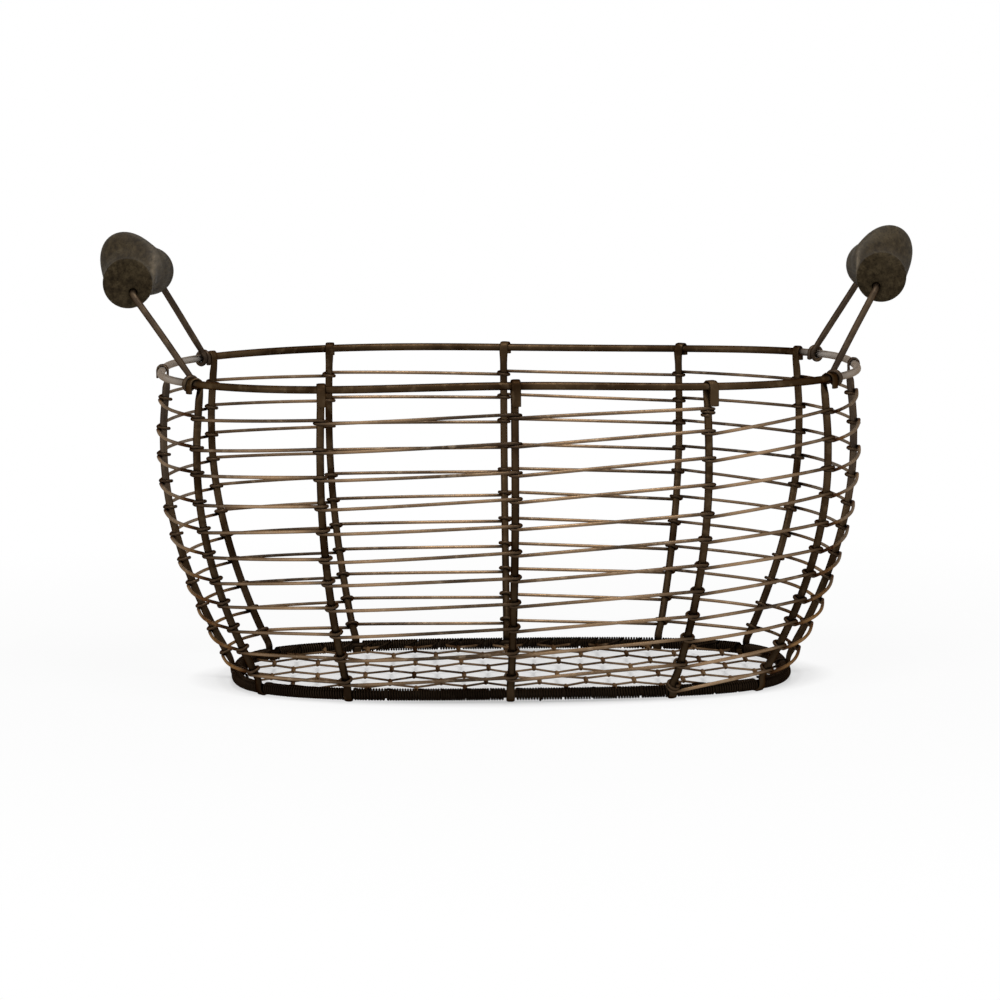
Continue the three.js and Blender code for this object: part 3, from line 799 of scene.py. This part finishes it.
def handle_bar(end):
    near, far = foot(end, -1), foot(end, 1)
    near_top, far_top = crossbar_end(end, -1), crossbar_end(end, 1)
    near_arc = rounded(near[0], near_top, far_top)
    far_arc = rounded(near_top, far_top, far[0])
    straight = lambda a, b, count: a + (b - a) * np.linspace(0, 1, count + 2)[1:-1, None]
    path = np.vstack([
        near[::-1], straight(near[0], near_arc[0], LEG_STEPS), near_arc,
        straight(near_arc[-1], far_arc[0], CROSSBAR_STEPS), far_arc,
        straight(far_arc[-1], far[0], LEG_STEPS), far,
    ])
    beaten = np.zeros(len(path))
    beaten[:len(near)], beaten[-len(far):] = 1, 1
    beaten = np.convolve(beaten, np.ones(5) / 5, "same")
    thickness = HANDLE_RADIUS + (FOOT_THICKNESS - HANDLE_RADIUS) * beaten
    return bar(path, thickness, sides=HANDLE_SIDES, shade=HANDLE_SHADE)


# Wooden grips: bored along the crossbar, thick in the middle and arched outward

GRIP_HALF = 53.0
# Half width, half height and distance of the middle above the bore
GRIP_END = np.array([12.8, 12.8, 5.4])
GRIP_BELLY = np.array([13.9, 17.6, 13.9])
GRIP_SWELL = 1.19
GRIP_SWELL_POWER = 3.2
GRIP_EDGE = 2.6
BORE_RADIUS = 2.15
MOUTH_CHAMFER = 0.5
GRIP_SIDES = 56
GRIP_STEPS = 49
BORE_STEPS = 9
# The painted highlight band: its place round the grip, and where it fades along the grip
GRIP_HIGHLIGHT_AT = math.radians(-14)
GRIP_HIGHLIGHT_REACH = math.radians(26)
GRIP_HIGHLIGHT_END_FADE = 16
GRIP_HIGHLIGHT_FADE = 30


def grip_skin(end):
    near, far = crossbar_end(end, -1), crossbar_end(end, 1)
    middle, axis = (near + far) / 2, unit(far - near)
    leg = middle - (foot(end, -1)[0] + foot(end, 1)[0]) / 2
    rise = unit(leg - axis * (leg @ axis))
    side = np.cross(axis, rise)
    arch = lambda y: math.cos(QUARTER_TURN * y / (GRIP_SWELL * GRIP_HALF))
    swell = lambda y: arch(y) ** GRIP_SWELL_POWER
    floor = swell(GRIP_HALF)
    part = lambda y: (swell(y) - floor) / (1 - floor)
    section = lambda y: GRIP_END + (GRIP_BELLY - GRIP_END) * part(y)
    inner_half = GRIP_HALF - GRIP_EDGE
    outer = [(y, *section(y)) for y in np.linspace(-inner_half, inner_half, GRIP_STEPS)]
    edge = []
    for degrees in (15, 30, 45, 60, 75, 90):
        a = math.radians(degrees)
        less = np.array([1, 1, 0]) * GRIP_EDGE * (1 - math.cos(a))
        edge.append((inner_half + GRIP_EDGE * math.sin(a), *(section(inner_half) - less)))
    mouth = (BORE_RADIUS + MOUTH_CHAMFER, BORE_RADIUS + MOUTH_CHAMFER, 0)
    rim = section(inner_half) - np.array([1, 1, 0]) * GRIP_EDGE
    face = [(GRIP_HALF, *(rim + (mouth - rim) * t)) for t in (0.1, 0.5, 1)]
    face.append((GRIP_HALF - MOUTH_CHAMFER, BORE_RADIUS, BORE_RADIUS, 0))
    bore = [(y, BORE_RADIUS, BORE_RADIUS, 0)
            for y in np.linspace(GRIP_HALF - 3, -GRIP_HALF + 3, BORE_STEPS)]
    flipped = lambda rings: [(-ring[0], *ring[1:]) for ring in rings[::-1]]
    profile = outer + edge + face + bore + flipped(face) + flipped(edge)
    angle = TURN * np.arange(GRIP_SIDES) / GRIP_SIDES
    c, s = np.cos(angle)[:, None], np.sin(angle)[:, None]
    rings = [middle + axis * y - side * half_width * c + rise * (half_height * s + offset)
             for y, half_width, half_height, offset in profile]
    # A painted highlight along the upper side that faces the basket
    across = np.sign(side @ [-end, 0, 0]) * -np.cos(angle)
    highlight_band = ease(1 - np.abs(np.arctan2(np.sin(angle), across) - GRIP_HIGHLIGHT_AT) / GRIP_HIGHLIGHT_REACH)
    ends = [ease((GRIP_HALF - abs(y)) / GRIP_HIGHLIGHT_END_FADE) * ease(0.6 - y / GRIP_HIGHLIGHT_FADE)
            if half_width > BORE_RADIUS + 1 else 0 for y, half_width, _, _ in profile]
    return skin(np.array(rings), True, np.outer(ends, highlight_band).ravel())


for name, end in (("left", -1), ("right", 1)):
    piece(f"{name}_handle", [handle_bar(end)], frame_look, f"{name}_handle_wire")
    piece(f"{name}_wood", [grip_skin(end)], wood, f"{name}_grip",
          body=f"{name}_grip_body", true=True)


# Camera, floor and light

def add_camera():
    data = bpy.data.cameras.new("camera")
    data.sensor_width = 36
    data.lens = 149.96
    data.shift_x = -0.00957
    data.shift_y = -0.01302
    data.clip_end = 100
    camera = bpy.data.objects.new("camera", data)
    bpy.context.scene.collection.objects.link(camera)
    camera.location = (-0.0511, -2.1846, 0.3550)
    way = Vector((0, 0, 0.1006)) - camera.location
    camera.rotation_mode = "QUATERNION"
    camera.rotation_quaternion = way.to_track_quat("-Z", "Y") @ Quaternion((0, 0, 1), -0.0067)
    bpy.context.scene.camera = camera


def seen_rays(g):
    """1 for the rays that see the background: from the camera, mirrored or through glass."""
    path = g.add("LightPath")
    seen = g.out(path, "Is Camera Ray")
    for kind in ("Is Glossy Ray", "Is Transmission Ray"):
        values = {0: seen, 1: g.out(path, kind)}
        seen = g.out(g.add("Math", values, operation="MAXIMUM"), 0)
    return seen


FLOOR_HALF = 6.0
# Share of the plainly lit floor that is seen: under the basket, and round it. Under the basket the
# larger share shows the cast shadow more strongly and also makes the floor there darker, a painted
# shadow.
SHADE_UNDER, SHADE_ROUND = 0.6, 0.12
# Half length and half width of the floor that counts as under the basket
UNDER_HALF_LENGTH, UNDER_HALF_WIDTH = 0.15, 0.09


def add_floor():
    mesh = bpy.data.meshes.new("floor")
    corners = [(x * FLOOR_HALF, y * FLOOR_HALF, 0) for x, y in ((-1, -1), (1, -1), (1, 1), (-1, 1))]
    mesh.from_pydata(corners, [], [(0, 1, 2, 3)])
    floor = bpy.data.objects.new("floor", mesh)
    bpy.context.scene.collection.objects.link(floor)
    look = bpy.data.materials.new("white_floor")
    g = Graph(look)
    white = (1, 1, 1, 1)
    plain = g.out(g.add("BsdfDiffuse", {"Color": (0.8, 0.8, 0.8, 1)}))
    near = g.out(g.add("Emission", {"Color": white, "Strength": 1.02}))
    where = g.object_place()
    scale = (1 / UNDER_HALF_LENGTH, 1 / UNDER_HALF_WIDTH, 0)
    under = g.out(g.add("Mapping", {"Vector": where, "Scale": scale}))
    under = g.out(g.add("VectorMath", {0: under}, operation="LENGTH"), "Value")
    # Under the basket the floor is painted darker, a painted shadow, on top of its cast shadow
    shade = g.spread(under, 0.95, 1.15, SHADE_UNDER, SHADE_ROUND)
    shadowed = g.out(g.add("MixShader", {"Fac": shade, 1: near, 2: plain}))
    far = g.out(g.add("Emission", {"Color": white, "Strength": 1.0}))
    distance = g.out(g.add("VectorMath", {0: where}, operation="LENGTH"), "Value")
    fade = g.spread(distance, 0.3, 0.6, 0, 1)
    shown = g.out(g.add("MixShader", {"Fac": fade, 1: shadowed, 2: far}))
    g.finish(g.out(g.add("MixShader", {"Fac": seen_rays(g), 1: plain, 2: shown})))
    mesh.materials.append(look)


def add_world():
    world = bpy.data.worlds.new("studio")
    bpy.context.scene.world = world
    g = Graph(world)
    white = (1, 1, 1, 1)
    soft = g.out(g.add("Background", {"Color": white, "Strength": 0.5}))
    seen = g.out(g.add("Background", {"Color": white, "Strength": 1.0}))
    shader = g.out(g.add("MixShader", {"Fac": seen_rays(g), 1: soft, 2: seen}))
    g.finish(shader, "OutputWorld")


def add_lamp(name, place, aim, size, power):
    data = bpy.data.lights.new(name, "AREA")
    data.shape = "DISK"
    data.size = size
    data.energy = power
    lamp = bpy.data.objects.new(name, data)
    bpy.context.scene.collection.objects.link(lamp)
    lamp.location = place
    way = Vector(aim) - lamp.location
    lamp.rotation_mode = "QUATERNION"
    lamp.rotation_quaternion = way.to_track_quat("-Z", "Y")


add_camera()
add_floor()
add_world()
add_lamp("key", (0.15, -0.7, 2.0), (0, 0, 0.1), 0.9, 16)
add_lamp("fill", (-1.4, -1.6, 0.9), (0, 0, 0.1), 1.0, 5)
scene = bpy.context.scene
scene.view_settings.view_transform = "Standard"
